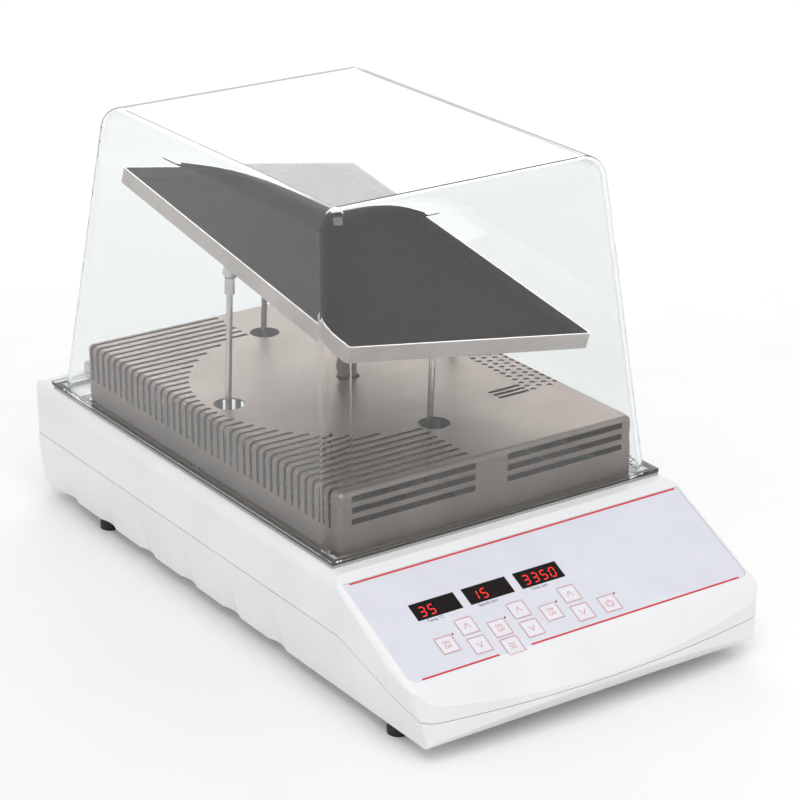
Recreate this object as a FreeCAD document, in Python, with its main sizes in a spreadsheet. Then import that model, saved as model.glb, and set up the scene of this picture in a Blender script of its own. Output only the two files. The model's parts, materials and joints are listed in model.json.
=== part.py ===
# Heated waving shaker: a white case with a sloped keypad, a clear hinged lid over a slotted steel
# chamber, and a tray that nutates on a ball while four rods carry the tilt of a swash plate to it.
# Millimetres, +Z up, front towards -Y, origin on the floor under the middle of the case.
import FreeCAD, Part
import Sketcher
import math
import os
import re
from FreeCAD import Placement, Rotation, Vector

doc = FreeCAD.newDocument("WavingShaker")
sheet = doc.addObject("Spreadsheet::Sheet", "Sizes")

SIZES = {
    # case
    "case_width": 413, "case_depth": 760, "case_corner": 28, "front_bow": 16, "floor_gap": 14,
    "seam_height": 82, "seam_gap": 1, "seam_setback": 13, "seam_dip": 51, "seam_dip_back": 55,
    "nose_height": 40, "nose_inset": 20, "nose_tip": 3, "nose_round": 9, "nose_length": 156,
    "deck_height": 136, "panel_length": 148, "panel_slope": 25.9, "panel_round": 8,
    "bottom_inset": 14.5, "shoulder_inset": 2, "shoulder_round": 12, "wall": 3.5,
    "flute_pitch": 85, "flute_lead": 273, "flute_count": 6, "flute_round": 40, "flute_depth": 2.2,
    "flute_height": 46,
    # feet and screws
    "foot_round": 11, "foot_inset": 28, "foot_lead": 84, "foot_tail": 126,
    "boss_round": 7, "boss_inset": 26, "screw_round": 2, "screw_head": 4, "screw_head_height": 3,
    # keypad panel
    "border": 12, "overlay_inset": 7.5, "overlay_length": 124, "overlay_corner": 9,
    "recess_depth": 1.5, "overlay_thick": 0.8, "key_size": 19, "key_gap": 0.4, "key_thick": 2.4,
    "key_rise": 0.1, "key_travel": 0.8, "key_lead": 58, "key_pitch": 59.5, "key_step": 30,
    "key_mid": 95, "key_up": 82, "key_down": 105.5, "key_low": 117, "power_lead": 239,
    "display_length": 50, "display_height": 19.5, "display_lead": 72, "display_row": 52,
    "board_drop": 6, "board_thick": 1.6, "dome_size": 8, "display_board_lead": 33,
    "display_board_wide": 222, "display_board_top": 29, "display_board_low": 130,
    # lid
    "lid_lead": 17, "lid_tail": 43, "lid_inset": 16.5, "lid_lean_front": 43, "lid_lean_back": 60,
    "lid_lean_side": 27, "lid_top": 460, "lid_wall": 4, "lid_round": 22, "flange_reach": 4.5,
    "flange_thick": 4, "gasket_thick": 3, "gasket_width": 7,
    "hinge_x": 120, "hinge_width": 46, "hinge_back": 12, "hinge_rise": 9, "hinge_pin": 3,
    "knuckle_round": 7, "knuckle_share": 16, "strap_thick": 2.5, "fit_gap": 0.3,
    # chamber cover
    "cover_inset": 16, "cover_lead": 15, "cover_tail": 43, "cover_top": 198.5, "sheet_thick": 1.5,
    "cover_bend": 6, "cover_flange": 6, "opening_margin": 6, "slot_width": 5, "slot_lead": 14,
    "slot_spare": 14.8, "slot_count": 38, "slot_low": 160, "slot_stop": -18, "plain_inset": 14,
    "short_slot_length": 38, "short_slot_pitch": 8.5, "face_slot_gap": 19, "face_slot_inset": 14,
    "face_slot_tall": 6, "face_slot_low": 165, "face_slot_rise": 11.5, "perf_round": 3,
    "perf_pitch": 10.5, "perf_inset": 38, "perf_columns": 4, "perf_lead": 114, "perf_tail": 36,
    "rod_hole": 16, "post_hole": 13, "filter_thick": 3,
    # tray and drive
    "axis_y": 60, "pivot_height": 308, "swash_height": 158, "tilt": 12.8, "tilt_towards": -43,
    "rod_reach_end": 156, "ball_lift": 6, "ball_drop": 22, "tray_spare": 35, "tray_spare_end": 6,
    "tray_rim": 16, "tray_sheet": 2, "tray_floor_lift": 14, "tray_corner": 4, "mat_thick": 3,
    "mat_gap": 0.5, "pivot_ball_round": 11, "hub_round": 22, "hub_lift": 1, "post_round": 10,
    "post_clear": 5, "post_foot_round": 32, "post_foot_thick": 8, "post_cup_round": 14,
    "post_cup_tall": 14, "rod_round": 3.2, "rod_ball": 5.5, "socket_round": 7.5, "socket_lip": 1,
    "cup_round": 5.2, "cup_length": 17, "cup_drop": 3.2, "well_round": 10.5, "well_floor": 2,
    "well_mouth": 8.4, "crank_bore": 17, "crank_round": 24, "crank_low": 68, "seat_round": 30,
    "seat_length": 26, "bearing_out": 42, "bearing_width": 14, "ring_out": 54, "ring_tall": 20,
    "arm_width": 16, "arm_thick": 8, "crank_bearing_tall": 9, "pulley_round": 60,
    "pulley_tall": 14, "motor_pulley_round": 20, "belt_thick": 2, "belt_tall": 8,
    "pulley_lip": 3, "pulley_lip_tall": 2, "motor_distance": 150, "motor_round": 32,
    "motor_tall": 40, "motor_shaft": 4, "bracket_half": 40, "bracket_thick": 3,
    "chassis_half": 150, "chassis_front": -70, "chassis_back": 262, "chassis_thick": 3,
    # air and electrics
    "fan_inset": 62, "fan_tail": 72, "fan_size": 80, "fan_tall": 25, "fan_bore": 37, "fan_hub": 15,
    "strut_width": 4, "strut_tall": 3, "blade_count": 7, "blade_thick": 2, "blade_tall": 12,
    "blade_pitch": 35, "heater_round": 4, "heater_inset": 24, "heater_right": -46, "heater_y": 140,
    "heater_pitch": 34, "heater_drop": 20, "hanger_thick": 3, "hanger_inset": 20,
    "hanger_reach": 8, "probe_round": 2.5, "probe_length": 24, "probe_x": 60, "probe_lead": 42,
    "board_half": 120, "board_lead": 50, "board_length": 115, "standoff_tall": 8,
    "standoff_round": 4, "supply_length": 70, "supply_width": 55, "supply_tall": 30,
    "connector_length": 60, "connector_width": 12, "connector_tall": 14, "inlet_x": -110,
    "inlet_width": 28, "inlet_tall": 24, "inlet_height": 48, "inlet_depth": 24, "switch_x": -60,
    "switch_width": 14, "switch_tall": 22, "rocker_angle": 9, "bezel": 3,
    "vent_count": 8, "vent_pitch": 12, "vent_x": 40, "vent_width": 5, "vent_low": 30, "vent_tall": 36,
}
# Places that follow the case, each worked out from the sizes and from places further down
PLACES = {
    "rod_reach_side": "tray_width/2-socket_round",
    "tray_width": "2*lid_top_half-tray_spare",
    "tray_length": "lid_top_back-lid_top_front-tray_spare_end",
    "fan_x": "cover_half-fan_inset",
    "fan_y": "cover_back-fan_tail",
    "heater_left": "heater_inset-cover_half",
    "face_slot_end": "cover_half-face_slot_inset",
    "plain_round": "cover_half-plain_inset",
    "probe_y": "cover_front+probe_lead",
    "slot_first": "cover_front+slot_lead",
    "slot_pitch": "(cover_back-cover_front-slot_spare)/slot_count",
    "perf_left": "cover_half-perf_inset",
    "perf_front": "cover_front+perf_lead",
    "opening_half": "cover_half-opening_margin/2",
    "opening_front": "cover_front+opening_margin",
    "opening_back": "cover_back-opening_margin",
    "cover_half": "lid_half_width-cover_inset",
    "cover_front": "lid_front+cover_lead",
    "cover_back": "lid_back-cover_tail",
    "lid_top_half": "lid_half_width-lid_lean_side",
    "lid_top_front": "lid_front+lid_lean_front",
    "lid_top_back": "lid_back-lid_lean_back",
    "lid_half_width": "case_width/2-lid_inset",
    "lid_front": "kink_y+lid_lead",
    "lid_back": "case_depth/2-lid_tail",
    "key_first_x": "key_lead-overlay_half",
    "power_key_x": "power_lead-overlay_half",
    "display_first_x": "display_lead-overlay_half",
    "display_board_right": "display_board_left+display_board_wide",
    "display_board_left": "display_board_lead-overlay_half",
    "overlay_half": "case_width/2-overlay_inset",
    "board_back": "board_front+board_length",
    "board_front": "board_lead-case_depth/2",
    "foot_front": "foot_lead-case_depth/2",
    "foot_back": "case_depth/2-foot_tail",
    "flute_first": "flute_lead-case_depth/2",
    "kink_y": "nose_length-case_depth/2",
}
for row, (alias, value) in enumerate(SIZES.items(), 1):
    sheet.set("A%d" % row, alias)
    sheet.set("B%d" % row, str(value))
    sheet.setAlias("B%d" % row, alias)
doc.recompute()

NAMES = re.compile(r"\b(%s)\b" % "|".join(sorted(SIZES, key=len, reverse=True)))
HALF_WIDTH = "case_width/2"
HALF_DEPTH = "case_depth/2"
parts = {}


def expr(text):
    text = str(text)
    for name, formula in PLACES.items():
        text = re.sub(r"\b%s\b" % name, "(%s)" % formula, text)
    return NAMES.sub(r"Sizes.\1", text)


def size(text):
    return float(sheet.evalExpression(expr(text)))


def bind(obj, **values):
    for prop, text in values.items():
        obj.setExpression(prop.replace("__", "."), expr(text))
    return obj


def place(obj, x="0", y="0", z="0"):
    return bind(obj, Placement__Base__x=x, Placement__Base__y=y, Placement__Base__z=z)


def turn(obj, axis, angle):
    obj.Placement = Placement(obj.Placement.Base, Rotation(Vector(*axis), 1.0))
    return bind(obj, Placement__Rotation__Angle=angle)


def box(name, x0, x1, y0, y1, z0, z1):
    obj = doc.addObject("Part::Box", name)
    bind(obj, Length="(%s)-(%s)" % (x1, x0), Width="(%s)-(%s)" % (y1, y0), Height="(%s)-(%s)" % (z1, z0))
    return place(obj, x0, y0, z0)


def cylinder(name, radius, z0, z1, x="0", y="0"):
    obj = doc.addObject("Part::Cylinder", name)
    bind(obj, Radius=radius, Height="(%s)-(%s)" % (z1, z0))
    return place(obj, x, y, z0)


def rod_along(name, radius, length, x, y, z, axis, angle):
    # a cylinder whose own Z is turned about the given axis
    obj = doc.addObject("Part::Cylinder", name)
    bind(obj, Radius=radius, Height=length)
    turn(obj, axis, angle)
    return place(obj, x, y, z)


def sphere(name, radius, x="0", y="0", z="0"):
    return place(bind(doc.addObject("Part::Sphere", name), Radius=radius), x, y, z)


def cone(name, low, high, z0, z1, x="0", y="0"):
    obj = doc.addObject("Part::Cone", name)
    bind(obj, Radius1=low, Radius2=high, Height="(%s)-(%s)" % (z1, z0))
    return place(obj, x, y, z0)


def outline(name, plane, points, shift="0"):
    # a closed sketch of straight sides, each corner held by two bound distances
    planes = {"XY": Rotation(), "XZ": Rotation(Vector(1, 0, 0), 90), "YZ": Rotation(Vector(1, 1, 1), 120)}
    sketch = doc.addObject("Sketcher::SketchObject", name)
    sketch.Placement = Placement(Vector(), planes[plane])
    count = len(points)
    start = size("case_width") / 4
    turns = [2 * math.pi * i / count for i in range(count)]
    spots = [Vector(start * math.cos(a), start * math.sin(a), 0) for a in turns]
    for i in range(count):
        sketch.addGeometry(Part.LineSegment(spots[i], spots[(i + 1) % count]), False)
    for i in range(count):
        sketch.addConstraint(Sketcher.Constraint("Coincident", i, 2, (i + 1) % count, 1))
    for i, pair in enumerate(points):
        for kind, text in zip(("DistanceX", "DistanceY"), pair):
            spot = spots[i].x if kind == "DistanceX" else spots[i].y
            k = sketch.addConstraint(Sketcher.Constraint(kind, -1, 1, i, 1, spot))
            sketch.setExpression("Constraints[%d]" % k, expr(text))
    axis = {"XY": "z", "XZ": "y", "YZ": "x"}[plane]
    sketch.setExpression("Placement.Base." + axis, expr(shift))
    return sketch


def extrude(name, sketch, length):
    obj = doc.addObject("Part::Extrusion", name)
    obj.Base = sketch
    obj.DirMode = "Normal"
    obj.Solid = True
    obj.Symmetric = True
    return bind(obj, LengthFwd=length)


def loft(name, sketches):
    obj = doc.addObject("Part::Loft", name)
    obj.Sections = sketches
    obj.Solid = True
    obj.Ruled = True
    return obj


def gather(name, objects):
    obj = doc.addObject("Part::Compound", name)
    obj.Links = objects
    return obj


def cut(name, base, *tools):
    obj = doc.addObject("Part::Cut", name)
    obj.Base = base
    obj.Tool = tools[0] if len(tools) == 1 else gather(name + "_tools", list(tools))
    return obj


def fuse(name, *objects):
    obj = doc.addObject("Part::MultiFuse", name)
    obj.Shapes = list(objects)
    return obj


def common(name, *objects):
    obj = doc.addObject("Part::MultiCommon", name)
    obj.Shapes = list(objects)
    return obj


def rounded(name, base, radius, wanted):
    # a fillet on the straight edges whose middle and direction pass the test
    doc.recompute()
    obj = doc.addObject("Part::Fillet", name)
    obj.Base = base
    picked = []
    for number, edge in enumerate(base.Shape.Edges, 1):
        middle = edge.valueAt((edge.FirstParameter + edge.LastParameter) / 2)
        along = edge.tangentAt((edge.FirstParameter + edge.LastParameter) / 2)
        if wanted(middle, along):
            picked.append((number, radius, radius))
    obj.Edges = picked
    return obj


def along_x(middle, way):
    return abs(way.x) > 0.99


def along_y(middle, way):
    return abs(way.y) > 0.99


def along_z(middle, way):
    return abs(way.z) > 0.99


def part(node, obj):
    obj.Label = node
    parts[node] = obj
    return obj


def on_panel(obj, x, s, w):
    # the panel's own frame: s runs down the slope from the kink, w outwards from the surface
    turn(obj, (1, 0, 0), "panel_slope")
    return place(obj, x, "kink_y-(%s)*cos(panel_slope)-(%s)*sin(panel_slope)" % (s, w),
                 "deck_height-(%s)*sin(panel_slope)+(%s)*cos(panel_slope)" % (s, w))


def panel_box(name, x0, x1, s0, s1, w0, w1):
    obj = doc.addObject("Part::Box", name)
    bind(obj, Length="(%s)-(%s)" % (x1, x0), Width="(%s)-(%s)" % (s1, s0), Height="(%s)-(%s)" % (w1, w0))
    return on_panel(obj, x0, s1, w0)


def tilted(obj, height):
    # from upright about the origin to the swash tilt about a point on the drive axis
    towards = math.radians(size("tilt_towards"))
    turn(obj, (-math.sin(towards), math.cos(towards), 0), "tilt")
    return place(obj, "0", "axis_y", height)


def case_form(tag, t):
    # plan with rounded corners and a bowed front, met with the side, cross and panel sections
    bow = "((case_width/2)^2+front_bow^2)/(2*front_bow)"
    block = box(tag + "_block", "-(%s)+%s" % (HALF_WIDTH, t), "%s-%s" % (HALF_WIDTH, t),
                "-(%s)+%s" % (HALF_DEPTH, t), "%s-%s" % (HALF_DEPTH, t), "0", "deck_height+case_corner")
    round_front = cylinder(tag + "_bow", "%s-%s" % (bow, t), "0", "deck_height+case_corner",
                           "0", "%s-(%s)" % (bow, HALF_DEPTH))
    inner = size("wall") if t == "wall" else 0.0
    flat = common(tag + "_flat", block, round_front)
    plan = rounded(tag + "_plan", flat, size("case_corner") - inner, along_z)
    end_y = "kink_y-panel_length*cos(panel_slope)"
    end_z = "deck_height-panel_length*sin(panel_slope)"
    if t == "wall":
        end_y = end_y + "+wall"
        end_z = "deck_height-wall-(kink_y+wall*tan(panel_slope/2)-(%s))*tan(panel_slope)" % end_y
    side = extrude(tag + "_side", outline(tag + "_side_lines", "YZ", [
        ("%s-%s" % (HALF_DEPTH, t), "floor_gap+%s" % t),
        ("%s-%s" % (HALF_DEPTH, t), "deck_height-%s" % t),
        ("kink_y+%s*tan(panel_slope/2)" % t, "deck_height-%s" % t),
        (end_y, end_z),
        ("-(%s)-nose_tip+1.4*%s" % (HALF_DEPTH, t), "nose_height"),
        ("-(%s)+nose_inset+1.2*%s" % (HALF_DEPTH, t), "floor_gap+%s" % t)]), "2*case_width")
    front = size("kink_y") - 1
    side = rounded(tag + "_side_soft", side, size("nose_round"),
                   lambda m, a: along_x(m, a) and m.y < front)
    back = size("case_depth") / 2 - inner
    side = rounded(tag + "_side_back", side, size("shoulder_round") - inner,
                   lambda m, a: along_x(m, a) and m.y > back - 0.1 and m.z > size("seam_height"))
    wide = [("%s-bottom_inset-%s" % (HALF_WIDTH, t), "floor_gap+%s" % t),
            ("%s-%s" % (HALF_WIDTH, t), "seam_height"),
            ("%s-shoulder_inset-%s" % (HALF_WIDTH, t), "deck_height-%s" % t)]
    mirrored = [("-(%s)" % x, z) for x, z in reversed(wide)]
    cross = extrude(tag + "_cross", outline(tag + "_cross_lines", "XZ", wide + mirrored), "2*case_depth")
    cross = rounded(tag + "_cross_soft", cross, size("shoulder_round") - inner,
                    lambda m, a: along_y(m, a) and m.z > size("seam_height") + 1)
    slab = panel_box(tag + "_slab", "-(%s)+%s" % (HALF_WIDTH, t), "%s-%s" % (HALF_WIDTH, t),
                     "-case_depth", "panel_length*2", "-case_depth", "-" + t)
    up = size("panel_round") - inner
    slope = math.radians(size("panel_slope"))

    def top_side(m, a):
        over = Vector(0, -math.sin(slope), math.cos(slope))
        corner = Vector(0, size("kink_y"), size("deck_height"))
        return abs(a.x) < 0.01 and abs(a.dot(over)) < 0.01 and (m - corner).dot(over) > -inner - 0.1
    slab = rounded(tag + "_slab_soft", slab, up, top_side)
    return common(tag + "_form", plan, side, cross, slab)


def below_seam(name, drop):
    # everything under the joint line between the two housings, which dips towards the front
    front = "-(%s)" % HALF_DEPTH
    return extrude(name, outline(name + "_lines", "YZ", [
        (front + "-case_corner", "0"), (HALF_DEPTH + "+case_corner", "0"),
        (HALF_DEPTH + "+case_corner", "seam_height-%s" % drop),
        ("kink_y-seam_setback", "seam_height-%s" % drop),
        (front + "+seam_dip_back", "seam_dip-%s" % drop),
        (front, "nose_height-%s" % drop),
        (front + "-case_corner", "nose_height-%s" % drop)]), "2*case_width")


# Case: one outer form and one cavity, split at the seam
shell = cut("case_shell", case_form("outer", "0"), case_form("cavity", "wall"))
boss_rows = ("opening_front", "axis_y", "opening_back+boss_inset")
boss_spots = [(side, y) for side in (-1, 1) for y in boss_rows]
foot_spots = [(side, y) for side in (-1, 1) for y in ("foot_front", "foot_back")]


def boss_x(side):
    return "%d*(%s-boss_inset)" % (side, HALF_WIDTH)


def foot_x(side):
    return "%d*(%s-foot_inset)" % (side, HALF_WIDTH)


# Keys and displays: name, place across, place down from the overlay's top edge
key_spots = {}
display_spots = []
for column, quantity in enumerate(("temperature", "speed", "time")):
    left = "key_first_x+%d*key_pitch" % column
    key_spots["key_%s_start" % quantity] = (left, "key_mid")
    key_spots["key_%s_up" % quantity] = (left + "+key_step", "key_up")
    key_spots["key_%s_down" % quantity] = (left + "+key_step", "key_down")
    display_spots.append("display_first_x+%d*key_pitch" % column)
key_spots["key_program"] = ("key_first_x+key_pitch", "key_low")
key_spots["key_power"] = ("power_key_x", "key_down")


def key_block(name, spot, grow, w0, w1):
    x, s = spot
    half = "key_size/2+%s" % grow
    return panel_box(name, "%s-(%s)" % (x, half), "%s+%s" % (x, half),
                     "border+%s-(%s)" % (s, half), "border+%s+%s" % (s, half), w0, w1)


def display_block(name, x, grow, w0, w1):
    return panel_box(name, "%s-display_length/2-%s" % (x, grow), "%s+display_length/2+%s" % (x, grow),
                     "border+display_row-display_height/2-%s" % grow,
                     "border+display_row+display_height/2+%s" % grow, w0, w1)


def panel_holes(tag):
    holes = [key_block("%s_hole_%s" % (tag, key), spot, "key_gap", "-2*wall", "wall")
             for key, spot in key_spots.items()]
    for number, x in enumerate(display_spots):
        holes.append(display_block("%s_window_%d" % (tag, number), x, "fit_gap", "-2*wall", "wall"))
    return holes


def overlay_plate(name, shrink, w0, w1):
    plate = panel_box(name + "_flat", "-overlay_half+%s" % shrink, "overlay_half-%s" % shrink,
                      "border+%s" % shrink, "border+overlay_length-%s" % shrink, w0, w1)
    slope = math.radians(size("panel_slope"))
    low = size("deck_height") - (size("border") + size("overlay_length") / 2) * math.sin(slope)
    return rounded(name, plate, size("overlay_corner"),
                   lambda m, a: abs(a.x) < 0.01 and abs(a.z) > 0.8 and m.z < low)


upper = cut("upper_cut", shell, below_seam("upper_limit", "0"))
upper = cut("upper_open", upper, box("deck_opening", "-opening_half", "opening_half", "opening_front",
                                     "opening_back", "seam_height", "deck_height+wall"))
upper = cut("upper_recessed", upper, overlay_plate("overlay_recess", "0", "-recess_depth", "wall"))
upper = cut("upper_holed", upper, *panel_holes("case"))
added = []
for number, (side, y) in enumerate(boss_spots):
    boss = cylinder("upper_boss_%d" % number, "boss_round", "seam_height", "deck_height-wall/2",
                    boss_x(side), y)
    pilot = cylinder("upper_pilot_%d" % number, "screw_round+fit_gap", "seam_height", "deck_height-2*wall",
                     boss_x(side), y)
    added.append(cut("upper_post_%d" % number, boss, pilot))
for number, (x, s) in enumerate(((x, s) for x in ("display_board_left", "display_board_right-boss_round")
                                 for s in ("display_board_top", "display_board_low-boss_round"))):
    added.append(panel_box("panel_post_%d" % number, x, x + "+boss_round", "border+" + s,
                           "border+%s+boss_round" % s, "-board_drop", "-wall/2-recess_depth/2"))
part("upper_housing", fuse("upper_whole", upper, *added))

lower = common("lower_cut", shell, below_seam("lower_limit", "seam_gap"))
flutes = []
for side in (-1, 1):
    lean = "(bottom_inset/(seam_height-floor_gap)+flute_depth/flute_height)"
    for number in range(int(size("flute_count"))):
        flutes.append(rod_along(
            "flute_%s_%d" % ("left" if side < 0 else "right", number), "flute_round", "seam_height",
            "%d*(%s-bottom_inset+flute_round-flute_depth-floor_gap*%s)" % (side, HALF_WIDTH, lean),
            "flute_first+%d*flute_pitch" % number, "0", (0, side, 0), "atan(%s)" % lean))
lower = cut("lower_fluted", lower, *flutes)


def rear_block(name, x, width, tall, y0, y1):
    return box(name, "%s-(%s)/2" % (x, width), "%s+(%s)/2" % (x, width), "%s-(%s)" % (HALF_DEPTH, y0),
               "%s+(%s)" % (HALF_DEPTH, y1), "inlet_height-(%s)/2" % tall, "inlet_height+(%s)/2" % tall)


rear = [rear_block("inlet_hole", "inlet_x", "inlet_width", "inlet_tall", "2*wall", "wall"),
        rear_block("switch_hole", "switch_x", "switch_width", "switch_tall", "2*wall", "wall")]
for number in range(int(size("vent_count"))):
    x = "vent_x+%d*vent_pitch" % number
    rear.append(box("vent_%d" % number, x, x + "+vent_width", HALF_DEPTH + "-2*wall", HALF_DEPTH + "+wall",
                    "vent_low", "vent_low+vent_tall"))
lower = cut("lower_rear", lower, *rear)
lower = cut("lower_bezels", lower,
            rear_block("inlet_seat", "inlet_x", "inlet_width+2*bezel", "inlet_tall+2*bezel",
                       "wall/2", "wall"),
            rear_block("switch_seat", "switch_x", "switch_width+2*bezel", "switch_tall+2*bezel",
                       "wall/2", "wall"))
added = [cylinder("lower_boss_%d" % n, "boss_round", "floor_gap+wall/2", "seam_height", boss_x(side), y)
         for n, (side, y) in enumerate(boss_spots)]
board_spots = [(x, y) for x in ("-board_half+2*standoff_round", "board_half-2*standoff_round")
               for y in ("board_front+2*standoff_round", "board_back-2*standoff_round")]
added += [cylinder("standoff_%d" % n, "standoff_round", "floor_gap+wall/2",
                   "floor_gap+wall+standoff_tall", x, y) for n, (x, y) in enumerate(board_spots)]
lower = fuse("lower_posts", lower, *added)
drilled = []
screws = []
for number, (side, y) in enumerate(boss_spots):
    x = boss_x(side)
    drilled.append(cylinder("boss_drill_%d" % number, "screw_round+fit_gap", "0", "seam_height+wall", x, y))
    shank = cylinder("case_shank_%d" % number, "screw_round", "floor_gap", "deck_height-3*wall", x, y)
    head = cylinder("case_head_%d" % number, "screw_head", "floor_gap", "floor_gap+screw_head_height", x, y)
    screws.append(fuse("case_screw_%d" % number, shank, head))
for number, (side, y) in enumerate(foot_spots):
    x = foot_x(side)
    drilled.append(cylinder("foot_drill_%d" % number, "screw_round+fit_gap", "0", "floor_gap+2*wall", x, y))
    shank = cylinder("foot_shank_%d" % number, "screw_round", "floor_gap/2", "floor_gap+3*wall", x, y)
    head = cylinder("foot_head_%d" % number, "screw_head", "floor_gap/2-screw_head_height", "floor_gap/2",
                    x, y)
    screws.append(fuse("foot_screw_%d" % number, shank, head))
lower = cut("lower_drilled", lower, *drilled)
sunk = [cylinder("head_sink_%d" % n, "screw_head+fit_gap", "0", "floor_gap+screw_head_height",
                 boss_x(side), y) for n, (side, y) in enumerate(boss_spots)]
part("lower_housing", cut("lower_whole", lower, *sunk))
cover_rows = ("cover_front+2*cover_flange", "axis_y", "cover_back-2*cover_flange")
for number, (side, y) in enumerate((side, y) for side in (-1, 1) for y in cover_rows):
    screws.append(cylinder("cover_screw_%d" % number, "cover_flange/2-fit_gap", "deck_height+sheet_thick",
                           "deck_height+2*sheet_thick", "%d*(cover_half+cover_flange/2)" % side, y))
part("case_screws", gather("screw_set", screws))

feet = []
for number, (side, y) in enumerate(foot_spots):
    pad = cylinder("foot_pad_%d" % number, "foot_round", "0", "floor_gap", foot_x(side), y)
    bore = cylinder("foot_bore_%d" % number, "screw_round+fit_gap", "0", "floor_gap", foot_x(side), y)
    well = cylinder("foot_well_%d" % number, "screw_head+fit_gap", "0", "floor_gap/2", foot_x(side), y)
    feet.append(cut("foot_%d" % number, cut("foot_drilled_%d" % number, pad, bore), well))
part("feet", gather("foot_set", feet))

# Keypad
overlay = overlay_plate("overlay_sheet", "fit_gap", "-recess_depth", "overlay_thick-recess_depth")
part("control_overlay", cut("overlay_cut", overlay, *panel_holes("overlay")))
key_top = "overlay_thick-recess_depth+key_rise"
for key, spot in key_spots.items():
    part(key, key_block(key + "_cap", spot, "0", key_top + "-key_thick", key_top))
part("display_modules", gather("display_set", [
    display_block("display_%d" % n, x, "0", "-board_drop", "-recess_depth+overlay_thick")
    for n, x in enumerate(display_spots)]))
domes = []
dome_top = key_top + "-key_thick-key_travel-key_rise"
for key, (x, s) in key_spots.items():
    domes.append(panel_box("dome_" + key, x + "-dome_size/2", x + "+dome_size/2", "border+%s-dome_size/2" % s,
                           "border+%s+dome_size/2" % s, "-board_drop", dome_top))
part("dome_switches", gather("dome_set", domes))
part("display_board", panel_box("display_board_flat", "display_board_left", "display_board_right",
                                "border+display_board_top", "border+display_board_low",
                                "-board_drop-board_thick", "-board_drop"))

# Lid
LID_LOW = "deck_height+gasket_thick"


def rectangle(name, x, y0, y1, z):
    return outline(name, "XY", [("-(%s)" % x, y0), (x, y0), (x, y1), ("-(%s)" % x, y1)], z)


def lid_form(tag, t, low_z, top_z, radius):
    form = loft(tag + "_loft", [
        rectangle(tag + "_low", "lid_half_width-%s" % t, "lid_front+%s" % t, "lid_back-%s" % t, low_z),
        rectangle(tag + "_top", "lid_top_half-%s" % t, "lid_top_front+%s" % t, "lid_top_back-%s" % t, top_z)])
    half = size("lid_top") / 2
    return rounded(tag + "_soft", form, radius, lambda m, a: m.z > half)


flange_back = "lid_back+flange_reach+flange_reach"
flange = box("lid_flange", "-lid_half_width-flange_reach", "lid_half_width+flange_reach",
             "lid_front-flange_reach", flange_back, LID_LOW, LID_LOW + "+flange_thick")
lid_outer = lid_form("lid_outer", "0", LID_LOW, "lid_top", size("lid_round"))
lid_inner = lid_form("lid_inner", "lid_wall", LID_LOW, "lid_top-lid_wall", size("lid_round-lid_wall"))
part("lid", cut("lid_whole", fuse("lid_solid", lid_outer, flange), lid_inner))
edge = "flange_reach-fit_gap"
inset = "gasket_width-(%s)" % edge
gasket = box("gasket_out", "-lid_half_width-(%s)" % edge, "lid_half_width+%s" % edge,
             "lid_front-(%s)" % edge, "lid_back+%s" % edge, "deck_height", LID_LOW)
gasket_hole = box("gasket_in", "-lid_half_width+%s" % inset, "lid_half_width-(%s)" % inset,
                  "lid_front+%s" % inset, "lid_back-(%s)" % inset, "0", "lid_top")
part("lid_gasket", cut("gasket_ring", gasket, gasket_hole))

# Lid hinges
PIN_Y = "(lid_back+2*flange_reach+hinge_back)"
PIN_Z = "(deck_height+hinge_rise)"
brackets, pins, straps = [], [], []
for side, tag in ((-1, "left"), (1, "right")):
    x0 = "%d*hinge_x-hinge_width/2" % side
    mid0 = "%d*hinge_x-knuckle_share/2" % side
    mid1 = "%d*hinge_x+knuckle_share/2" % side

    def barrel(name, radius, start, length):
        return rod_along(name + "_" + tag, radius, length, start, PIN_Y, PIN_Z, (0, 1, 0), "90")
    block = box("hinge_block_" + tag, x0, x0 + "+hinge_width", PIN_Y + "-knuckle_round",
                PIN_Y + "+knuckle_round", "deck_height", PIN_Z)
    block = fuse("hinge_body_" + tag, block, barrel("hinge_barrel", "knuckle_round", x0, "hinge_width"))
    gap = box("hinge_gap_" + tag, mid0 + "-fit_gap", mid1 + "+fit_gap", PIN_Y + "-2*knuckle_round",
              PIN_Y + "+2*knuckle_round", "deck_height+hinge_rise-knuckle_round-fit_gap", "lid_top")
    block = cut("hinge_ears_" + tag, block, gap)
    brackets.append(cut("hinge_bracket_" + tag, block,
                        barrel("hinge_bore", "hinge_pin+fit_gap/4", x0, "hinge_width")))
    pins.append(barrel("hinge_pin", "hinge_pin", x0, "hinge_width"))
    knuckle = barrel("strap_knuckle", "knuckle_round", mid0, "knuckle_share")
    plate = box("strap_plate_" + tag, mid0, mid1, "lid_back+fit_gap", PIN_Y, LID_LOW + "+flange_thick",
                LID_LOW + "+flange_thick+strap_thick")
    wing = box("strap_wing_" + tag, mid0 + "-knuckle_share/2", mid1 + "+knuckle_share/2", "lid_back+fit_gap",
               flange_back, LID_LOW + "+flange_thick", LID_LOW + "+flange_thick+strap_thick")
    straps.append(cut("strap_" + tag, fuse("strap_body_" + tag, knuckle, plate, wing),
                      barrel("strap_bore", "hinge_pin+fit_gap/3", mid0, "knuckle_share")))
part("hinge_brackets", gather("bracket_set", brackets))
part("hinge_pins", gather("pin_set", pins))
part("lid_straps", gather("strap_set", straps))

# Chamber cover: a folded steel box with slots wrapped over the left edge, slots in the front face
# and round holes over a filter pad on the right
UNDER = "(cover_top-sheet_thick)"


def cover_block(tag, t, low, radius):
    block = box(tag + "_block", "-cover_half+%s" % t, "cover_half-%s" % t, "cover_front+%s" % t,
                "cover_back-%s" % t, low, "cover_top-%s" % t)
    return rounded(tag + "_bent", block, radius, lambda m, a: m.z > size("deck_height") + 1)


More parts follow.
